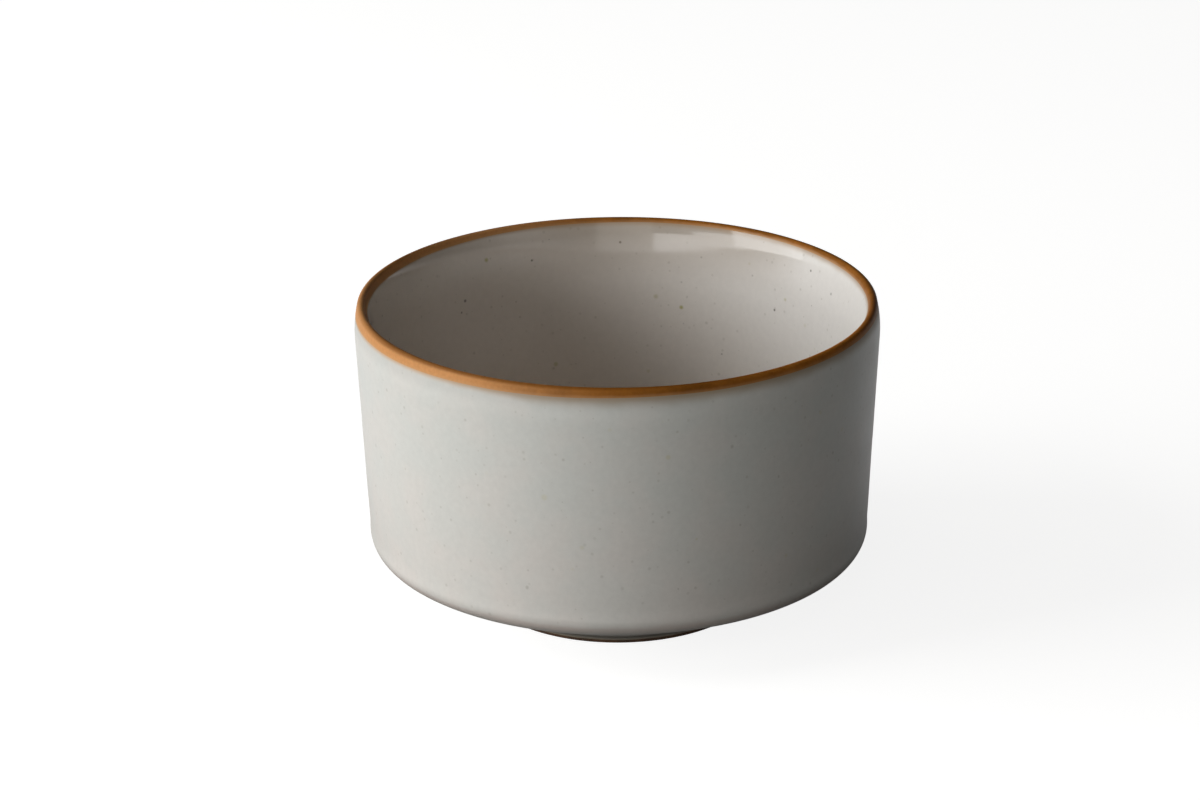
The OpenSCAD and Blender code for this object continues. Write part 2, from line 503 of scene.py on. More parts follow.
@dataclass(frozen=True)
class OxideFinish:
    """A satin band of iron oxide that burns from ochre to dark brown.

    It is darkest along the crown, which is painted shade where the crown faces up, brighter on one stretch
    and pale where the glaze laps it.
    """

    name: str
    ochre: Colour
    rust: Colour
    brown: Colour
    pale: Colour
    fade: float
    roughness: float
    specular: float = 0.06
    roughness_spread: float = 0.16
    relief: float = 0.03 * MM
    relief_strength: float = 0.6
    blotch_size: float = 7 * MM
    blotch_span: Span = (0.36, 0.72)
    grain_size: float = 0.7 * MM
    mottle: float = 0.36
    ragged_size: float = 4 * MM
    ragged_least: float = 0.5
    burnt_span: Span = (-36 * MM, 2 * MM)
    # Painted shade along the crown, where it faces up
    crown_shade_span: Span = (1.2 * MM, 2.0 * MM)
    crown_shade_side: Span = (-57 * MM, -45 * MM)
    crown_shade_strength: float = 0.75
    bright_across: Span = (20 * MM, 38 * MM)
    bright_along: Span = (-24 * MM, -5 * MM)
    bright_gain: float = 0.75
    lap: float = 0.35
    lap_across: Span = (10 * MM, 30 * MM)
    lap_along: Span = (5 * MM, 25 * MM)
    lap_gain: float = 0.25

    def make(self) -> bpy.types.Material:
        """Builds the band's material."""
        shader = Shader(self.name, IOR=1.5, Specular_IOR_Level=self.specular)
        across, along = shader.across, shader.along
        edge_gap = shader.attribute("lip_gap")
        blotch = shader.blotches(self.blotch_size, detail=4.0, roughness=0.6).rise(*self.blotch_span)
        grain = shader.blotches(self.grain_size, detail=3.0)
        burnt = shader.mix(blotch, self.rust, self.brown)
        shader.colour = shader.mix(across.rise(*self.burnt_span), self.ochre, burnt)
        # Painted shade: the crown darkens towards brown where it faces up
        crown = edge_gap.rise(*self.crown_shade_span) * across.rise(*self.crown_shade_side)
        shader.tint(crown * self.crown_shade_strength, self.brown)
        bright = across.rise(*self.bright_across) * along.fall(*self.bright_along)
        shader.shade((1 + self.bright_gain * bright) * (1 + self.mottle * (grain - 0.5)))
        gap = edge_gap * (self.ragged_least + shader.blotches(self.ragged_size))
        more = across.rise(*self.lap_across) * along.rise(*self.lap_along)
        shader.tint(gap.fall(0.0, self.fade) * (self.lap + self.lap_gain * more), self.pale)
        shader.feed("Base Color", shader.colour)
        shader.feed("Roughness", self.roughness + self.roughness_spread * (grain - 0.5))
        shader.bump(grain, self.relief, self.relief_strength)
        return shader.material


@dataclass(frozen=True)
class ClayFinish:
    """Bare fired stoneware, toasted at the foot, with grit and the marks of the turning tool."""

    name: str
    brown: Colour
    toast: Colour
    grit: Specks
    roughness: float
    ring_pitch: float
    roughness_spread: float = 0.15
    blotch_size: float = 5 * MM
    blotch_span: Span = (0.34, 0.7)
    sand_size: float = 0.35 * MM
    mottle: float = 0.56
    ring_wobble: float = 3.0
    ring_relief: float = 0.2
    sand_relief: float = 0.6
    relief: float = 0.08 * MM
    relief_strength: float = 0.8

    def make(self) -> bpy.types.Material:
        """Builds the clay's material."""
        shader = Shader(self.name, IOR=1.45)
        blotch = shader.blotches(self.blotch_size, detail=4.0, roughness=0.6).rise(*self.blotch_span)
        shader.colour = shader.mix(blotch, self.brown, self.toast)
        sand = shader.blotches(self.sand_size) - 0.5
        shader.shade(1 + self.mottle * sand)
        shader.tint(self.grit.mask(shader), self.grit.colour)
        shader.feed("Base Color", shader.colour)
        shader.feed("Roughness", self.roughness + self.roughness_spread * sand)
        turns = shader.distance(shader.across, shader.along) * (math.tau / self.ring_pitch)
        rings = (turns + self.ring_wobble * blotch).sine()
        height = 0.5 + self.ring_relief * rings + self.sand_relief * sand
        shader.bump(height, self.relief, self.relief_strength)
        return shader.material


@dataclass(frozen=True)
class Corner:
    """A corner of an outline: distance from the axis, height and the radius of its rounding."""

    radius: float
    height: float
    rounding: float = 0.0

    @property
    def spot(self) -> Vector:
        """The corner as a point across half of the bowl."""
        return Vector((self.radius, self.height))


class Outline:
    """A path across half of the bowl, with arcs in its corners, measured by its run from the start."""

    TURN = math.radians(4)
    STRETCH = 1.2 * MM
    ARC_STRETCH = 0.6 * MM
    LEAST_STEP = 0.02 * MM
    SLACK = 1e-6

    def __init__(self, corners: Sequence[Corner]) -> None:
        """Draws the path.

        Args:
            corners: the path's corners in order; the first and last are its ends.
        """
        knots = [corners[0].spot]
        for before, at, after in zip(corners, corners[1:], corners[2:]):
            knots += self._arc(before.spot, at, after.spot)
        knots.append(corners[-1].spot)
        self.points: list[Vector] = [knots[0]]
        for end in knots[1:]:
            start = self.points[-1]
            pieces = math.ceil((end - start).length / self.STRETCH - self.SLACK)
            self.points += [start.lerp(end, k / pieces) for k in range(1, pieces + 1)]
        self.runs: list[float] = [0.0]
        for start, end in zip(self.points, self.points[1:]):
            self.runs.append(self.runs[-1] + (end - start).length)

    def _arc(self, before: Vector, corner: Corner, after: Vector) -> list[Vector]:
        """Rounds one corner.

        Args:
            before: the corner before it.
            corner: the corner.
            after: the corner after it.

        Returns:
            The arc's points, or the corner itself where it has no rounding.
        """
        if corner.rounding == 0:
            return [corner.spot]
        back, on = (before - corner.spot).normalized(), (after - corner.spot).normalized()
        half = back.angle(on) / 2
        centre = corner.spot + (back + on).normalized() * (corner.rounding / math.sin(half))
        first = corner.spot + back * (corner.rounding / math.tan(half)) - centre
        sweep = math.copysign(math.pi - 2 * half, on.x * back.y - on.y * back.x)
        steps = math.ceil(abs(sweep) * max(1 / self.TURN, corner.rounding / self.ARC_STRETCH))
        start = math.atan2(first.y, first.x)
        angles = [start + sweep * k / steps for k in range(steps + 1)]
        return [centre + corner.rounding * Vector((math.cos(a), math.sin(a))) for a in angles]

    @property
    def length(self) -> float:
        """The whole path's length."""
        return self.runs[-1]

    def crown_run(self) -> float:
        """The run at the path's highest point."""
        return max(zip((p.y for p in self.points), self.runs))[1]

    def run_at(self, height: float, side: Side = Side.OUTSIDE) -> float:
        """Finds where the path passes a height.

        Args:
            height: the height.
            side: the outside, where the path climbs, or the inside, where it goes down.

        Returns:
            The run at that height.
        """
        crown = self.crown_run()
        for i, (start, end) in enumerate(zip(self.points, self.points[1:])):
            on_side = (self.runs[i] < crown) == (side is Side.OUTSIDE)
            if on_side and min(start.y, end.y) <= height <= max(start.y, end.y) and start.y != end.y:
                part = (height - start.y) / (end.y - start.y)
                return self.runs[i] + part * (self.runs[i + 1] - self.runs[i])
        raise ValueError(f"the outline does not pass height {height}")

    def runs_between(self, first: float, last: float, spacing: float = 0.0) -> list[float]:
        """Picks the path's own points on a stretch.

        Args:
            first: run at the stretch's start.
            last: run at its end.
            spacing: least distance between the picked points.

        Returns:
            The runs, with both ends.
        """
        end = last - max(spacing / 2, self.LEAST_STEP)
        picked = [first]
        for run in self.runs:
            if picked[-1] + max(spacing, self.LEAST_STEP) < run < end:
                picked.append(run)
        return [*picked, last]

    def as_curve(self, name: str) -> bpy.types.Object:
        """Makes a helper curve of the path, with the radius along X and the height along Y."""
        data = bpy.data.curves.new(name, "CURVE")
        data.dimensions = "3D"
        spline = data.splines.new("POLY")
        spline.points.add(len(self.points) - 1)
        for knot, spot in zip(spline.points, self.points):
            knot.co = (spot.x, spot.y, 0.0, 1.0)
        return linked(name, data)


def crossing(p: Vector, u: Vector, q: Vector, v: Vector) -> Vector:
    """The point where the line through p along u meets the line through q along v."""
    gap = q - p
    return p + u * ((gap.x * v.y - gap.y * v.x) / (u.x * v.y - u.y * v.x))


@dataclass(frozen=True)
class BowlShape:
    """The bowl's sizes over the glaze and the outlines that follow from them.

    They are the CAD frame's, except that the heel is softer and the wall flares slightly into it.
    """

    height: float
    band_out_z: float
    band_in_z: float
    bare_h: float
    seat_z: float
    rim_d: float = 110 * MM
    heel_inset: float = 2 * MM
    heel_h: float = 13.1 * MM
    heel_r: float = 4.5 * MM
    heel_kick: float = 0.42 * MM
    neck_h: float = 17.8 * MM
    neck_r: float = 25 * MM
    lip_h: float = 4.2 * MM
    lip_lean: float = math.radians(12)
    lip_sweep_r: float = 24 * MM
    crown_w: float = 1.3 * MM
    crown_r: float = 0.45 * MM
    edge_h: float = 2.8 * MM
    edge_t: float = 3.1 * MM
    edge_sweep_r: float = 12 * MM
    taper_h: float = 9.2 * MM
    wall_t: float = 4.4 * MM
    floor_t: float = 4.4 * MM
    inside_r: float = 12 * MM
    floor_r: float = 30 * MM
    foot_d: float = 58.8 * MM
    foot_w: float = 4.4 * MM
    foot_h: float = 2.1 * MM
    foot_lean: float = math.radians(3)
    foot_blend_r: float = 0.8 * MM
    foot_bevel: float = 0.2 * MM
    bevel_softness: float = 0.5
    coat_t: float = 0.4 * MM

    @classmethod
    def from_frame(cls) -> "BowlShape":
        """Reads the heights of the bowl's parts from the CAD frame."""
        return cls(
            height=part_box("rim_band")[1].z,
            band_out_z=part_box("rim_band")[0].z,
            band_in_z=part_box("inner_glaze")[1].z,
            bare_h=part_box("outer_glaze")[0].z,
            seat_z=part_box("clay_body")[0].z,
        )

    @property
    def well_depth(self) -> float:
        """Depth of the glazed well inside the foot."""
        return self.seat_z - self.coat_t

    @property
    def shoulder_z(self) -> float:
        """Height where the wall starts to lean in to the lip."""
        return self.height - self.lip_h

    @property
    def wall_lean(self) -> float:
        """Angle by which the wall flares."""
        return math.atan(self.heel_inset / (self.shoulder_z - self.heel_h))

    @property
    def shoulder(self) -> Vector:
        """Corner between wall and lip, placed so that its rounding is as wide as the rim."""
        setback = self.lip_sweep_r * math.tan((self.wall_lean + self.lip_lean) / 2)
        bulge = self.lip_sweep_r * (1 - math.cos(self.wall_lean))
        return Vector((self.rim_d / 2 + setback * math.sin(self.wall_lean) - bulge, self.shoulder_z))

    @property
    def crown(self) -> Vector:
        """Outer corner of the lip's crown."""
        return Vector((self.shoulder.x - self.lip_h * math.tan(self.lip_lean), self.height))

    @property
    def crown_round(self) -> float:
        """Radius of the crown's corners over the coat."""
        return self.crown_r + self.coat_t

    @property
    def heel(self) -> Vector:
        """Corner between the wall and the underside."""
        return Vector((self.rim_d / 2 - self.heel_inset, self.heel_h))

    @property
    def foot_start(self) -> Vector:
        """The foot's glazed side, carried on to the table."""
        return Vector((self.foot_d / 2 + self.coat_t / math.cos(self.foot_lean), 0.0))

    @property
    def foot_top(self) -> Vector:
        """Corner between the foot and the underside."""
        return self.foot_start + self.foot_h * Vector((math.tan(self.foot_lean), 1.0))

    @property
    def slope(self) -> Vector:
        """Direction of the cone-shaped underside, from the foot to the heel."""
        return (self.heel - self.foot_top).normalized()

    def _outside(self) -> list[Corner]:
        """Corners from the table up the outside to the crown."""
        kick = self.heel + self.heel_kick * self.slope
        neck = self.heel.lerp(self.shoulder, (self.neck_h - self.heel_h) / (self.shoulder_z - self.heel_h))
        return [
            Corner(*self.foot_start),
            Corner(*self.foot_top, self.foot_blend_r),
            Corner(*kick, self.heel_r),
            Corner(*neck, self.neck_r),
            Corner(*self.shoulder, self.lip_sweep_r),
            Corner(*self.crown, self.crown_round),
        ]

    def _inside(self) -> list[Corner]:
        """Corners from the crown down the inside to the axis."""
        crown_in = self.crown - Vector((self.crown_w, 0.0))
        edge_z = self.height - self.edge_h
        edge_lean = (edge_z - self.shoulder_z) * math.tan(self.lip_lean)
        edge_foot = Vector((self.shoulder.x - edge_lean - self.edge_t, edge_z))
        taper_z = self.height - self.taper_h
        taper_flare = (taper_z - self.heel_h) * math.tan(self.wall_lean)
        taper_foot = Vector((self.heel.x + taper_flare - self.wall_t, taper_z))
        floor = Vector((0.0, self.well_depth + self.floor_t))
        inner_slope = self.foot_top + self.floor_t * Vector((-self.slope.y, self.slope.x))
        inner_heel = crossing(taper_foot, self.shoulder - self.heel, inner_slope, self.slope)
        floor_edge = crossing(inner_slope, self.slope, floor, Vector((1.0, 0.0)))
        return [
            Corner(*crown_in, self.crown_round),
            Corner(*edge_foot, self.edge_sweep_r),
            Corner(*taper_foot, self.lip_sweep_r),
            Corner(*inner_heel, self.inside_r),
            Corner(*floor_edge, self.floor_r),
            Corner(*floor),
        ]

    def skin(self) -> Outline:
        """The glazed surface, from the table up the outside, over the lip and down to the axis."""
        return Outline(self._outside() + self._inside())

    def well(self) -> Outline:
        """The glazed surface inside the foot, from the axis out to the ring and down to the table."""
        start = self.foot_d / 2 - self.foot_w - self.coat_t / math.cos(self.foot_lean)
        corner = start - self.well_depth * math.tan(self.foot_lean)
        depth = self.well_depth
        return Outline([Corner(0.0, depth), Corner(corner, depth, self.foot_blend_r), Corner(start, 0.0)])

    def ring(self) -> Outline:
        """The foot ring's clay all round: resting face, outside, seat and inside."""
        outer, inner = self.foot_d / 2, self.foot_d / 2 - self.foot_w
        lean = self.seat_z * math.tan(self.foot_lean)
        bevel, soft = self.foot_bevel, self.bevel_softness * self.foot_bevel
        middle = Corner((outer + inner) / 2, 0.0)
        return Outline([
            middle,
            Corner(outer - bevel, 0.0, soft),
            Corner(outer, bevel, soft),
            Corner(outer + lean, self.seat_z),
            Corner(inner - lean, self.seat_z),
            Corner(inner, bevel, soft),
            Corner(inner + bevel, 0.0, soft),
            middle,
        ])


@dataclass(frozen=True)
class Station:
    """A point of a section: its run on the outline, its depth under it and its shares in the unevenness."""

    run: float
    depth: float = 0.0
    lip_out: float = 0.0
    lip_in: float = 0.0
    foot: float = 0.0
    ripple: float = 0.0


class Turner:
    """A geometry tree that turns a section about the bowl's axis, with a hand-made bowl's unevenness."""

    STATION_FIELDS = ("run", "depth", "lip_out", "lip_in", "foot", "ripple")
    NUMBERS = (
        "Lip edge outside", "Lip edge inside", "Foot edge", "Lip lean", "Lip drop", "Lip spread",
        "Lip wave", "Foot wave", "Ripple", "Seed",
    )
    SOCKETS = {
        "Geometry": "NodeSocketGeometry", "Outline": "NodeSocketObject", "Turn steps": "NodeSocketInt",
        **dict.fromkeys(NUMBERS, "NodeSocketFloat"), "Material": "NodeSocketMaterial",
    }
    SAME_SPOT = 0.002 * MM
    CREASE = math.radians(35)
    RIPPLE_WIDTH = 46 * MM
    RIPPLE_HEIGHT = 13 * MM
    RIPPLE_DETAIL = 1.5
    WANDER_SIZE = 0.55
    WANDER_DETAIL = 3.0
    WANDER_GAIN = 3.2
    OUTSIDE_LAYER = 0.0
    INSIDE_LAYER = 7.0
    FOOT_LAYER = 13.0
    SPREAD_BIAS = 0.4

    def __init__(self) -> None:
        """Builds the tree."""
        self.tree = bpy.data.node_groups.new("Turned piece", "GeometryNodeTree")
        self.identifiers: dict[str, str] = {}
        for name, kind in self.SOCKETS.items():
            socket = self.tree.interface.new_socket(name, in_out="INPUT", socket_type=kind)
            self.identifiers[name] = socket.identifier
        self.tree.interface.new_socket("Geometry", in_out="OUTPUT", socket_type="NodeSocketGeometry")
        self.graph = Graph(self.tree)
        self.inputs = self.graph.add("NodeGroupInput")
        self._build()

    def _station(self, name: str, row: Value) -> Value:
        """Reads a number of the section's station in this row."""
        named = self.graph.add("GeometryNodeInputNamedAttribute", {"data_type": "FLOAT"}, {"Name": name})
        settings = {"data_type": "FLOAT", "domain": "POINT"}
        sockets = {"Geometry": self.inputs["Geometry"], "Value": named["Attribute"], "Index": row}
        return self.graph.add("GeometryNodeSampleIndex", settings, sockets)["Value"]

    def _wander(self, cosine: Value, sine: Value, layer: float) -> Value:
        """Slow unevenness round the bowl, from about -1 to 1, different for each layer."""
        spot = self.graph.vector(cosine, sine, self.inputs["Seed"] + layer)
        return (self.graph.noise(spot, self.WANDER_SIZE, self.WANDER_DETAIL) - 0.5) * self.WANDER_GAIN

    def _build(self) -> None:
        """Adds the tree's nodes."""
        g, ins = self.graph, self.inputs
        section = {"Geometry": ins["Geometry"]}
        rows = g.add("GeometryNodeAttributeDomainSize", {"component": "MESH"}, section)["Point Count"]
        sockets = {"Vertices X": ins["Turn steps"] + 1, "Vertices Y": rows}
        grid = g.add("GeometryNodeMeshGrid", {}, sockets)["Mesh"]
        index = g.add("GeometryNodeInputIndex")["Index"]
        row = index % rows
        angle = (index / rows).floor() * math.tau / ins["Turn steps"]
        cosine, sine = angle.cosine(), angle.sine()
        numbers = (self._station(name, row) for name in self.STATION_FIELDS)
        run, depth, lip_out, lip_in, foot, swell = numbers

        out_wave = ins["Lip wave"] * self._wander(cosine, sine, self.OUTSIDE_LAYER)
        out_shift = ins["Lip lean"] * cosine - ins["Lip drop"] + out_wave
        in_wave = ins["Lip wave"] * self._wander(cosine, sine, self.INSIDE_LAYER)
        in_shift = ins["Lip spread"] * cosine * (cosine - self.SPREAD_BIAS) + in_wave
        foot_shift = ins["Foot wave"] * self._wander(cosine, sine, self.FOOT_LAYER)
        run = run + lip_out * out_shift + lip_in * in_shift + foot * foot_shift
        out_gap = abs(run - ins["Lip edge outside"] - out_shift)
        in_gap = abs(run - ins["Lip edge inside"] - in_shift)
        gaps = {"lip_gap": out_gap.least(in_gap), "foot_gap": abs(run - ins["Foot edge"] - foot_shift)}

        outline = g.add("GeometryNodeObjectInfo", {}, {"Object": ins["Outline"]})["Geometry"]
        along = g.add("GeometryNodeSampleCurve", {"mode": "LENGTH"}, {"Curves": outline, "Length": run})
        radius, height, _ = g.parts(along["Position"])
        outward, upward, _ = g.parts(along["Tangent"])
        stretched = height * (self.RIPPLE_WIDTH / self.RIPPLE_HEIGHT)
        smooth_spot = g.vector(radius * cosine, radius * sine, stretched)
        waves = g.noise(smooth_spot, self.RIPPLE_WIDTH, self.RIPPLE_DETAIL) - 0.5
        under = depth + waves * ins["Ripple"] * swell
        turned_radius = radius - upward * under
        spot = g.vector(turned_radius * cosine, turned_radius * sine, height + outward * under)

        for name, number in gaps.items():
            settings = {"data_type": "FLOAT", "domain": "POINT"}
            sockets = {"Geometry": grid, "Name": name, "Value": number}
            grid = g.add("GeometryNodeStoreNamedAttribute", settings, sockets)["Geometry"]
        self._finish(g.add("GeometryNodeSetPosition", {}, {"Geometry": grid, "Position": spot})["Geometry"])

    def _finish(self, turned: Value) -> None:
        """Closes the turned mesh, sets its shading and material, and ends the tree.

        Args:
            turned: the mesh before its seam and poles are closed.
        """
        g = self.graph
        x, y, _ = g.parts(g.add("GeometryNodeInputPosition")["Position"])
        on_axis = (x * x + y * y) < self.SAME_SPOT**2
        sockets = {"Geometry": turned, "Selection": on_axis}
        open_axis = g.add("GeometryNodeDeleteGeometry", {"domain": "FACE"}, sockets)["Geometry"]
        sockets = {"Geometry": open_axis, "Distance": self.SAME_SPOT}
        closed = g.add("GeometryNodeMergeByDistance", {}, sockets)["Geometry"]
        smooth = g.add("GeometryNodeSetShadeSmooth", {"domain": "FACE"}, {"Geometry": closed})["Geometry"]
        bend = g.add("GeometryNodeInputMeshEdgeAngle")["Unsigned Angle"]
        crease = 1 - (bend < self.CREASE)
        sockets = {"Geometry": smooth, "Selection": crease, "Shade Smooth": False}
        creased = g.add("GeometryNodeSetShadeSmooth", {"domain": "EDGE"}, sockets)["Geometry"]
        whole = g.add("GeometryNodeRealizeInstances", {}, {"Geometry": creased})["Geometry"]
        sockets = {"Geometry": whole, "Material": self.inputs["Material"]}
        dressed = g.add("GeometryNodeSetMaterial", {}, sockets)["Geometry"]
        g.add("NodeGroupOutput", {}, {"Geometry": dressed})

    def turn(self, name: str, section: Sequence[Station], settings: Mapping[str, Any]) -> bpy.types.Object:
        """Turns one piece and makes it a plain mesh.

        Args:
            name: the piece's name.
            section: the stations round the piece's section; the last joins the first.
            settings: the tree's inputs by name.

        Returns:
            The piece, at the origin.
        """
        ring = [*section, section[0]]
        mesh = bpy.data.meshes.new(name)
        mesh.from_pydata([(0.0, 0.0, 0.0)] * len(ring), [], [])
        for field_name in self.STATION_FIELDS:
            numbers = mesh.attributes.new(field_name, "FLOAT", "POINT")
            numbers.data.foreach_set("value", [getattr(station, field_name) for station in ring])
        piece = linked(name, mesh)
        modifier = piece.modifiers.new("Turning", "NODES")
        modifier.node_group = self.tree
        for key, setting in settings.items():
            modifier[self.identifiers[key]] = setting
        depsgraph = bpy.context.evaluated_depsgraph_get()
        turned = bpy.data.meshes.new_from_object(piece.evaluated_get(depsgraph), depsgraph=depsgraph)
        turned.name = name
        piece.modifiers.clear()
        piece.data = turned
        bpy.data.meshes.remove(mesh)
        return piece


def share(run: float, zero: float, one: float) -> float:
    """Even weight along a run: 0 at zero and before it, 1 at one and beyond it."""
    return min(1.0, max(0.0, (run - zero) / (one - zero)))


def ramp(run: float, zero: float, one: float) -> float:
    """Smooth weight along a run: 0 at zero and before it, 1 at one and beyond it."""
    even = share(run, zero, one)
    return even * even * (3 - 2 * even)


@dataclass(frozen=True)
class Unevenness:
    """How far the hand-made bowl strays from its CAD shape."""

    lip_lean: float = 0.5 * MM
    lip_drop: float = 0.57 * MM
    lip_spread: float = 0.6 * MM
    lip_wave: float = 0.12 * MM
    foot_wave: float = 0.1 * MM
    ripple: float = 0.16 * MM
    seed: float = 4.0
    turn_steps: int = 288


@dataclass
class Coat:
    """A turned piece that stands for one CAD node.

    A coat is pulled along over its last stretch where its edge at the lip or the foot wanders.
    """

    shape: BowlShape
    skin: Outline
    finish: bpy.types.Material
    node: str
    slot: Slot
    piece_name: str
    unevenness: Unevenness = field(default_factory=Unevenness)
    inside_ripple: float = 0.3
    clay_spacing: float = 2.5 * MM
    edge_round: float = 0.22 * MM
    edge_steps: int = 6
    lip_pull: float = 9 * MM
    foot_pull: float = 4 * MM

    def section(self) -> list[Station]:
        """The stations round the piece's section."""
        raise NotImplementedError

    def edges(self) -> tuple[float, float, float]:
        """Runs of the band's edges, outside and inside, and of the glaze's foot edge on this outline."""
        outside = self.skin.run_at(self.shape.band_out_z, Side.OUTSIDE)
        inside = self.skin.run_at(self.shape.band_in_z, Side.INSIDE)
        return outside, inside, self.skin.run_at(self.shape.bare_h)

    def station(self, run: float, depth: float, **follows: float) -> Station:
        """A station whose ripple is full on the outside, less on the inside and none on the clay.

        Args:
            run: its run on the outline.
            depth: its depth under the surface.
            follows: its shares in the shifts of the coats' edges.

        Returns:
            The station.
        """
        outside, inside, _ = self.edges()
        swell = 1 - (1 - self.inside_ripple) * share(run, outside, inside)
        return Station(run, depth, ripple=swell * (1 - depth / self.shape.coat_t), **follows)

    def there_and_back(self, first: float, last: float) -> list[tuple[float, float]]:
        """Runs and depths along the surface from first to last and back along the clay."""
        surface = self.skin.runs_between(first, last)
        clay = self.skin.runs_between(first, last, self.clay_spacing)
        return [(run, 0.0) for run in surface] + [(run, self.shape.coat_t) for run in reversed(clay)]

    def rolled_edge(self, run: float, inward: float) -> list[tuple[float, float]]:
        """A rounded end of a coat.

        Args:
            run: run at the coat's end.
            inward: 1 or -1, the way along the outline into the coat.

        Returns:
            Runs and depths from the clay round to the surface.
        """
        turns = [math.pi / 2 * k / self.edge_steps for k in range(self.edge_steps + 1)]
        bow, thick = inward * self.edge_round, self.shape.coat_t
        return [(run + bow * (1 - math.cos(a)), thick * (1 - math.sin(a))) for a in turns]

    def build(self, turner: Turner, curve: bpy.types.Object) -> bpy.types.Object:
        """Turns the piece and joins it to the frame.

        Args:
            turner: the geometry tree.
            curve: the outline's helper curve.

        Returns:
            The piece.
        """
        outside, inside, foot = self.edges()
        settings = {
            "Outline": curve, "Material": self.finish, "Lip edge outside": outside,
            "Lip edge inside": inside, "Foot edge": foot,
        }
        for name, number in asdict(self.unevenness).items():
            settings[name.replace("_", " ").capitalize()] = number
        piece = turner.turn(self.piece_name, self.section(), settings)
        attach(piece, BODY)
        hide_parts(self.node)
        return piece


@dataclass
class OuterGlaze(Coat):
    """The satin glaze from the foot's bare edge up to the rim band."""

    def section(self) -> list[Station]:
        """Up the surface and back down along the clay."""
        lip, _, foot = self.edges()
        low, high = foot + self.foot_pull, lip - self.lip_pull
        roll = self.rolled_edge(foot, 1.0)
        surface = self.skin.runs_between(roll[-1][0], lip)
        clay = self.skin.runs_between(foot, lip, self.clay_spacing)
        pairs = roll[:-1] + [(run, 0.0) for run in surface]
        pairs += [(run, self.shape.coat_t) for run in reversed(clay[1:])]
        return [self.station(r, d, lip_out=ramp(r, high, lip), foot=ramp(r, low, foot)) for r, d in pairs]


@dataclass
class InnerGlaze(Coat):
    """The glossy glaze of the hollow, from the rim band down over the floor to the axis."""

    def section(self) -> list[Station]:
        """Down the surface to the axis and back up along the clay."""
        _, lip, _ = self.edges()
        pairs = self.there_and_back(lip, self.skin.length)
        return [self.station(r, d, lip_in=ramp(r, lip + self.lip_pull, lip)) for r, d in pairs]


@dataclass
class RimBand(Coat):
    """The brown oxide band over the lip."""

    clay_spacing: float = 0.12 * MM

    def section(self) -> list[Station]:
        """Over the lip along the surface and back along the clay."""
        outside, inside, _ = self.edges()
        crown = self.skin.crown_run()
        stations = []
        for run, depth in self.there_and_back(outside, inside):
            follows = {"lip_out": share(run, crown, outside), "lip_in": share(run, crown, inside)}
            stations.append(self.station(run, depth, **follows))
        return stations


@dataclass
class FootWellGlaze(Coat):
    """The glaze in the recess inside the foot ring."""

    def edges(self) -> tuple[float, float, float]:
        """Only the foot edge lies on this outline; the lip's edges are far beyond it."""
        return OUT_OF_REACH, 2 * OUT_OF_REACH, self.skin.run_at(self.shape.bare_h, Side.INSIDE)

    def section(self) -> list[Station]:
        """Out along the surface from the axis to the bare edge and back along the clay."""
        foot = self.edges()[2]
        roll = self.rolled_edge(foot, -1.0)
        surface = self.skin.runs_between(0.0, roll[-1][0])
        clay = self.skin.runs_between(0.0, foot, self.clay_spacing)
        pairs = [(run, 0.0) for run in surface] + list(reversed(roll[:-1]))
        pairs += [(run, self.shape.coat_t) for run in reversed(clay[:-1])]
        return [self.station(r, d, foot=ramp(r, foot - self.foot_pull, foot)) for r, d in pairs]


@dataclass
class FootRing(Coat):
    """The bare ring that the bowl stands on."""

    def edges(self) -> tuple[float, float, float]:
        """No coat's edge lies on the ring itself."""
        return OUT_OF_REACH, 2 * OUT_OF_REACH, OUT_OF_REACH

    def section(self) -> list[Station]:
        """All round the ring, from the middle of its resting face."""
        return [Station(run) for run in self.skin.runs[:-1]]


@dataclass(frozen=True)
class Viewpoint:
    """The photograph's camera, from its aim at the bowl's middle and small turns away from it."""

    aim_height: float = 33 * MM
    distance: float = 667.2 * MM
    elevation: float = math.radians(22.074)
    tilt: float = math.radians(0.79048)
    pan: float = math.radians(-0.32503)
    roll: float = math.radians(-0.42961)
    lens: float = 93.95
    sensor: float = 36.0

    def make(self) -> bpy.types.Object:
        """Creates the camera and makes it the scene's."""
        data = bpy.data.cameras.new("Camera")
        data.lens = self.lens
        data.sensor_width = self.sensor
        camera = linked("Camera", data)
        back = Vector((0.0, -math.cos(self.elevation), math.sin(self.elevation)))
        aim = Matrix.Rotation(math.pi / 2 - self.elevation, 4, "X")
        turn = Matrix.Rotation(self.tilt, 4, "X") @ Matrix.Rotation(-self.pan, 4, "Y")
        place = Vector((0.0, 0.0, self.aim_height)) + back * self.distance
        camera.matrix_world = Matrix.Translation(place) @ aim @ turn @ Matrix.Rotation(self.roll, 4, "Z")
        bpy.context.scene.camera = camera
        return camera


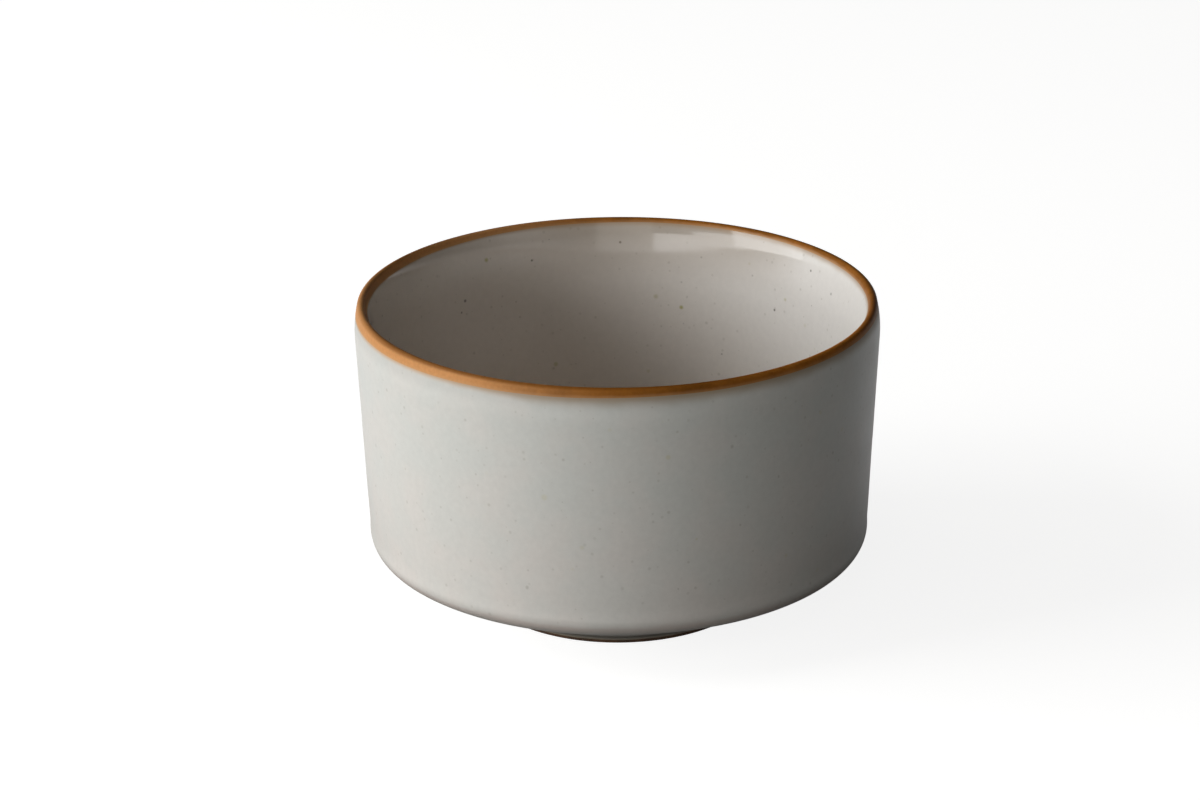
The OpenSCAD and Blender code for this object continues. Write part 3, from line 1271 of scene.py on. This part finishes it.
@dataclass(frozen=True)
class SoftPanel:
    """One upright soft lamp of the wall round the bowl's left side.

    Azimuths are degrees round the bowl from the camera's side, less than 0 on the left.
    """

    first_azimuth: float
    last_azimuth: float
    high: float
    radiance: float
    low: float = 0.01
    distance: float = 1.05
    colour: Colour = (1.0, 0.995, 0.985)

    def make(self) -> bpy.types.Object:
        """Hangs the panel so that it faces the bowl."""
        data = bpy.data.lights.new("Soft panel", "AREA")
        data.shape = "RECTANGLE"
        half = math.radians(self.last_azimuth - self.first_azimuth) / 2
        data.size, data.size_y = 2 * self.distance * math.tan(half), self.high - self.low
        data.energy = self.radiance * math.pi * data.size * data.size_y
        data.color = self.colour
        lamp = linked(data.name, data)
        azimuth = math.radians(self.first_azimuth) + half
        outward = Vector((math.sin(azimuth), -math.cos(azimuth), 0.0))
        lamp.location = outward * self.distance + Vector((0.0, 0.0, (self.low + self.high) / 2))
        lamp.rotation_mode = "QUATERNION"
        lamp.rotation_quaternion = (-outward).to_track_quat("-Z", "Y")
        lamp.visible_camera = False
        return lamp


@dataclass(frozen=True)
class Studio:
    """The pale room round the bowl: camera, lamps, background and floor.

    The floor's steps say how the share of its white that the glaze mirrors grows with the distance, which
    paints the bowl's shadow round it into the glaze's reflections.
    """

    view: Viewpoint = Viewpoint()
    wall: tuple[SoftPanel, ...] = (
        SoftPanel(-140, -120, 1.1, 0.3),
        SoftPanel(-120, -99, 1.1, 1.2),
        SoftPanel(-99, -79, 1.05, 5.1, low=0.1),
        SoftPanel(-79, -59, 1.05, 6.0, low=0.1),
        SoftPanel(-59, -38, 0.5, 3.3),
        SoftPanel(-38, -18, 0.34, 3.6),
        SoftPanel(-18, 10, 1.1, 0.9, colour=(1.0, 0.97, 0.91)),
    )
    ambient: Colour = (1.0, 0.93, 0.82)
    ambient_strength: float = 0.012
    overhead: float = 0.06
    horizon: Span = (0.0, 0.16)
    floor_colour: Colour = (0.42, 0.42, 0.41)
    floor_bounce: float = 0.25
    floor_glow: float = 0.86
    floor_half: float = 6.0
    near_floor: float = 0.04
    # Painted shadow: the glaze mirrors little of the floor's white near the bowl
    floor_shadow_steps: tuple[tuple[Span, float], ...] = (
        ((43 * MM, 121 * MM), 0.71),
        ((110 * MM, 400 * MM), 0.25),
    )

    @staticmethod
    def _seen(graph: Graph, mirrored: Value) -> Value:
        """How much of its own white a ray sees: all in the picture, a share mirrored, none as light."""
        path = graph.add("ShaderNodeLightPath")
        direct = path["Is Camera Ray"].most(path["Is Transmission Ray"])
        return direct.most(path["Is Glossy Ray"] * mirrored)

    def _light_world(self) -> None:
        """Gives the world a white background, which mirrors dimmer overhead, and a weak warm light."""
        world = bpy.data.worlds.new("Studio")
        graph = Graph(empty_tree(world))
        sockets = {"Color": (*self.ambient, 1.0), "Strength": self.ambient_strength}
        light = graph.add("ShaderNodeBackground", {}, sockets)["Background"]
        white = graph.add("ShaderNodeBackground", {}, {"Color": WHITE, "Strength": 1.0})["Background"]
        upward = graph.parts(graph.add("ShaderNodeTexCoord")["Object"])[2]
        mirrored = self.overhead + (1 - self.overhead) * upward.fall(*self.horizon)
        sockets = {0: self._seen(graph, mirrored), 1: light, 2: white}
        mixed = graph.add("ShaderNodeMixShader", {}, sockets)["Shader"]
        graph.add("ShaderNodeOutputWorld", {}, {"Surface": mixed})
        bpy.context.scene.world = world

    def _floor_finish(self) -> bpy.types.Material:
        """Makes the floor white in the picture and dim as a source of light."""
        material = bpy.data.materials.new("Pale floor")
        graph = Graph(empty_tree(material))
        dim, pale = ((*(level * c for c in self.floor_colour), 1.0) for level in (self.floor_bounce, 1.0))
        seen = graph.add("ShaderNodeLightPath")["Is Camera Ray"]
        sockets = {"Factor_Float": seen, "A_Color": dim, "B_Color": pale}
        colour = graph.add("ShaderNodeMix", {"data_type": "RGBA"}, sockets)["Result_Color"]
        matt = graph.add("ShaderNodeBsdfDiffuse", {}, {"Color": colour})["BSDF"]
        x, y, _ = graph.parts(graph.add("ShaderNodeTexCoord")["Object"])
        distance = graph.distance(x, y)
        # Painted shadow round the bowl in what the glaze mirrors of the floor
        mirrored: Any = self.near_floor
        for span, gain in self.floor_shadow_steps:
            mirrored = mirrored + gain * distance.rise(*span)
        strength = self._seen(graph, mirrored) * self.floor_glow
        glow = graph.add("ShaderNodeEmission", {}, {"Color": WHITE, "Strength": strength})["Emission"]
        both = graph.add("ShaderNodeAddShader", {}, {0: matt, 1: glow})["Shader"]
        graph.add("ShaderNodeOutputMaterial", {}, {"Surface": both})
        return material

    def _lay_floor(self) -> bpy.types.Object:
        """Lays a pale floor that keeps the bowl's shadow."""
        mesh = bpy.data.meshes.new("Floor")
        far = self.floor_half
        corners = [(-far, -far, 0.0), (far, -far, 0.0), (far, far, 0.0), (-far, far, 0.0)]
        mesh.from_pydata(corners, [], [(0, 1, 2, 3)])
        mesh.materials.append(self._floor_finish())
        floor = linked("Floor", mesh)
        floor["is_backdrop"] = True
        return floor

    def make(self) -> None:
        """Sets the room up."""
        self.view.make()
        for panel in self.wall:
            panel.make()
        self._light_world()
        self._lay_floor()
        bpy.context.scene.view_settings.view_transform = "Standard"


@dataclass(frozen=True)
class Finishes:
    """The bowl's four finishes."""

    outside: GlazeFinish = GlazeFinish(
        name="Outside glaze",
        cool=(0.60, 0.608, 0.577),
        warm=(0.648, 0.617, 0.58),
        tan=(0.57, 0.37, 0.21),
        thin=(0.33, 0.24, 0.15),
        thin_reach=3.3 * MM,
        thin_strength=0.88,
        mottle=0.13,
        specks=(
            Specks((0.25, 0.23, 0.17), 1.9 * MM, 0.5 * MM, 0.6, 0.27),
            Specks((0.16, 0.14, 0.09), 3.6 * MM, 0.55 * MM, 0.6, 0.3, tall=1.2, offset=(0.03, 0.01, 0.02)),
            Specks((0.50, 0.46, 0.22), 6 * MM, 0.9 * MM, 0.5, 0.32, offset=(0.01, 0.04, 0.05)),
        ),
        roughness=0.40,
        roughness_spread=0.16,
        relief=0.02 * MM,
        relief_size=2.6 * MM,
        warm_low=0.5,
        heel_tint_and_shade=0.3,
        margin=0.17,
    )
    inside: GlazeFinish = GlazeFinish(
        name="Inside glaze",
        cool=(0.68, 0.662, 0.635),
        warm=(0.668, 0.583, 0.503),
        tan=(0.50, 0.34, 0.20),
        thin=(0.34, 0.22, 0.12),
        thin_reach=1.7 * MM,
        thin_strength=0.7,
        mottle=0.1,
        specks=(
            Specks((0.20, 0.17, 0.12), 1.9 * MM, 0.5 * MM, 0.6, 0.25),
            Specks((0.04, 0.035, 0.02), 3.8 * MM, 0.55 * MM, 0.5, 0.9, offset=(0.02, 0.05, 0.01)),
            Specks((0.34, 0.31, 0.06), 7 * MM, 0.95 * MM, 0.45, 0.8, offset=(0.05, 0.02, 0.03)),
        ),
        roughness=0.42,
        roughness_spread=0.1,
        relief=0.006 * MM,
        relief_size=3.0 * MM,
        warm_low=0.3,
        flash=0.7,
        specular=0.15,
        clear_coat=1.0,
        smoke_strength=0.63,
    )
    oxide: OxideFinish = OxideFinish(
        name="Rim oxide",
        ochre=(0.53, 0.25, 0.092),
        rust=(0.28, 0.10, 0.014),
        brown=(0.18, 0.062, 0.007),
        pale=(0.54, 0.33, 0.17),
        fade=0.8 * MM,
        roughness=0.5,
    )
    clay: ClayFinish = ClayFinish(
        name="Bare clay",
        brown=(0.055, 0.031, 0.019),
        toast=(0.10, 0.05, 0.025),
        grit=Specks((0.025, 0.015, 0.009), 1.1 * MM, 0.28 * MM, 0.55, 0.8),
        roughness=0.85,
        ring_pitch=0.7 * MM,
    )


def dress_body(clay: bpy.types.Material) -> None:
    """Gives the CAD frame's clay body its finish."""
    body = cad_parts["clay_body"]
    body.data.materials.clear()
    body.data.materials.append(clay)


def build_bowl() -> Iterator[bpy.types.Object]:
    """Builds the bowl's pieces in order.

    Yields:
        Each piece, joined to the frame.
    """
    shape, finishes = BowlShape.from_frame(), Finishes()
    outside, inside = finishes.outside.make(), finishes.inside.make()
    oxide, clay = finishes.oxide.make(), finishes.clay.make()
    skin, well, ring = shape.skin(), shape.well(), shape.ring()
    dress_body(clay)
    coats: tuple[Coat, ...] = (
        FootRing(shape, ring, clay, "foot_ring", Slot.CLAY, "foot"),
        OuterGlaze(shape, skin, outside, "outer_glaze", Slot.OUTSIDE_GLAZE, "outside_coat"),
        InnerGlaze(shape, skin, inside, "inner_glaze", Slot.INSIDE_GLAZE, "inside_coat"),
        RimBand(shape, skin, oxide, "rim_band", Slot.RIM_OXIDE, "lip_band"),
        FootWellGlaze(shape, well, outside, "foot_well_glaze", Slot.OUTSIDE_GLAZE, "well_coat"),
    )
    turner = Turner()
    curves = {path: path.as_curve(name) for path, name in ((skin, "Skin"), (well, "Well"), (ring, "Ring"))}
    for coat in coats:
        yield coat.build(turner, curves[coat.skin])
    for curve in curves.values():
        bpy.data.objects.remove(curve)


def write_sizes() -> None:
    boxes = {"cad": cad_box, "visual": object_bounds()}
    json.dumps({name: [list(corner) for corner in box] for name, box in boxes.items()})


def main() -> None:
    """Builds the room and the bowl and reports each piece."""
    logging.basicConfig(level=logging.INFO, format="%(name)s: %(message)s")
    Studio().make()
    for piece in build_bowl():
        triangles = sum(len(face.vertices) - 2 for face in piece.data.polygons)
        low, high = piece.bound_box[0], piece.bound_box[6]
        log.info("%s: %d triangles, from %.5f to %.5f m high", piece.name, triangles, low[2], high[2])
    write_sizes()


if __name__ == "__main__":
    main()
